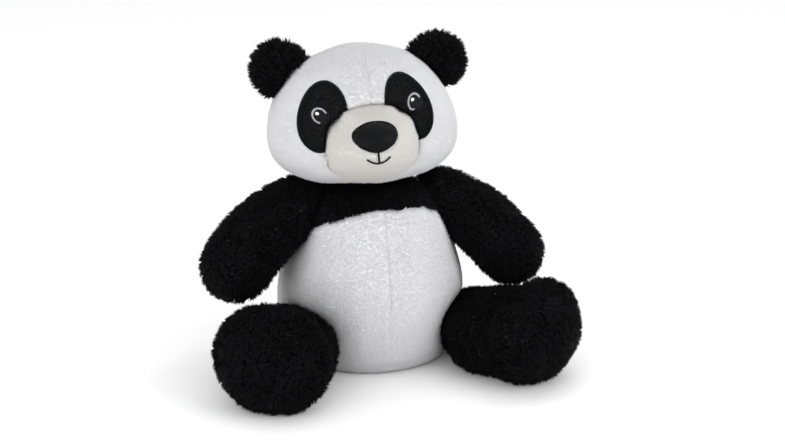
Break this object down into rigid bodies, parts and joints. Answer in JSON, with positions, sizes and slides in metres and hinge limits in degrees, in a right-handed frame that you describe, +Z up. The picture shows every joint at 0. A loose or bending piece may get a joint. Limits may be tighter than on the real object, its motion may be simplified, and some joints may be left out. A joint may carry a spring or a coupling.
{
  "type": "plush panda",
  "caption": "Seated plush panda with a turning, nodding head, folding ears, raising arms, spreading legs and a flat seat to rest on.",
  "frame": {"origin": "middle of the flat seat panel, on the ground", "axes": "+Z up, the panda faces -Y, +X towards its left side"},
  "size_m": [0.3052, 0.2464, 0.2809],
  "materials": {
    "white_short_plush": "short brushed pile",
    "black_long_plush": "long fluffy pile",
    "cream_plush": "short velvety pile",
    "black_felt": "short felted pile with satin-stitched edge",
    "black_satin": "padded satin",
    "black_thread": "satin-stitch embroidery thread",
    "grey_thread": "satin-stitch embroidery thread",
    "white_thread": "satin-stitch embroidery thread",
    "stuffing": "loose polyester fibre",
    "pellet_cloth": "plain woven bag"
  },
  "bodies": {
    "torso": {"seat_panel": "white_short_plush", "belly_panel_left": "white_short_plush", "belly_panel_right": "white_short_plush", "chest_panel": "black_long_plush", "upper_back_panel": "black_long_plush", "lower_back_panel_left": "white_short_plush", "lower_back_panel_right": "white_short_plush", "torso_stuffing": "stuffing", "seat_pellet_bag": "pellet_cloth"},
    "neck": {"neck_stuffing": "stuffing"},
    "head": {"head_panel_left": "white_short_plush", "head_panel_right": "white_short_plush", "head_back_panel": "white_short_plush", "head_stuffing": "stuffing", "muzzle_panel": "cream_plush", "muzzle_stuffing": "stuffing", "nose_pad": "black_satin", "mouth_stitches": "black_thread", "eye_patch_left": "black_felt", "eye_left": "black_thread", "eye_ring_left": "grey_thread", "eye_spark_left": "white_thread", "eye_patch_right": "black_felt", "eye_right": "black_thread", "eye_ring_right": "grey_thread", "eye_spark_right": "white_thread"},
    "ear_left": {"ear_front_left": "black_long_plush", "ear_back_left": "black_long_plush"},
    "ear_right": {"ear_front_right": "black_long_plush", "ear_back_right": "black_long_plush"},
    "arm_left": {"arm_front_panel_left": "black_long_plush", "arm_back_panel_left": "black_long_plush", "arm_stuffing_left": "stuffing"},
    "arm_right": {"arm_front_panel_right": "black_long_plush", "arm_back_panel_right": "black_long_plush", "arm_stuffing_right": "stuffing"},
    "leg_left": {"leg_outer_panel_left": "black_long_plush", "leg_inner_panel_left": "black_long_plush", "sole_panel_left": "black_long_plush", "leg_stuffing_left": "stuffing", "foot_pellet_bag_left": "pellet_cloth"},
    "leg_right": {"leg_outer_panel_right": "black_long_plush", "leg_inner_panel_right": "black_long_plush", "sole_panel_right": "black_long_plush", "leg_stuffing_right": "stuffing", "foot_pellet_bag_right": "pellet_cloth"},
    "tail": {"tail": "white_short_plush"}
  },
  "joints": [
    {"name": "head_turn", "type": "hinge", "parent": "torso", "child": "neck", "pos_m": [0, 0, 0.158], "axis": [0, 0, 1], "range_deg": [-30, 30], "stiffness_Nm_per_rad": 3},
    {"name": "head_nod", "type": "hinge", "parent": "neck", "child": "head", "pos_m": [0, 0, 0.158], "axis": [1, 0, 0], "range_deg": [-10, 10], "stiffness_Nm_per_rad": 6},
    {"name": "ear_fold_left", "type": "hinge", "parent": "head", "child": "ear_left", "pos_m": [0.0501, -0.00405, 0.25028], "axis": [0.661, -0.0462, -0.749], "range_deg": [-18, 18], "stiffness_Nm_per_rad": 0.15},
    {"name": "ear_fold_right", "type": "hinge", "parent": "head", "child": "ear_right", "pos_m": [-0.06814, 0.00421, 0.24718], "axis": [0.621, -0.0434, 0.7826], "range_deg": [-18, 18], "stiffness_Nm_per_rad": 0.15},
    {"name": "arm_raise_left", "type": "hinge", "parent": "torso", "child": "arm_left", "pos_m": [0.06097, -0.00416, 0.138], "axis": [-0.5, -0.866, 0], "range_deg": [-5, 40], "stiffness_Nm_per_rad": 2},
    {"name": "arm_raise_right", "type": "hinge", "parent": "torso", "child": "arm_right", "pos_m": [-0.06097, -0.00416, 0.138], "axis": [-0.5, 0.866, 0], "range_deg": [-10, 35], "stiffness_Nm_per_rad": 2},
    {"name": "leg_spread_left", "type": "hinge", "parent": "torso", "child": "leg_left", "pos_m": [0.08104, -0.03686, 0.0351], "axis": [0, 0, 1], "range_deg": [-18, 13], "stiffness_Nm_per_rad": 2},
    {"name": "leg_spread_right", "type": "hinge", "parent": "torso", "child": "leg_right", "pos_m": [-0.08104, -0.03686, 0.0351], "axis": [0, 0, -1], "range_deg": [-12, 20], "stiffness_Nm_per_rad": 2},
    {"name": "tail_wag", "type": "hinge", "parent": "torso", "child": "tail", "pos_m": [0, 0.07, 0.034], "axis": [0, 0, 1], "range_deg": [-20, 20], "stiffness_Nm_per_rad": 0.1}
  ]
}
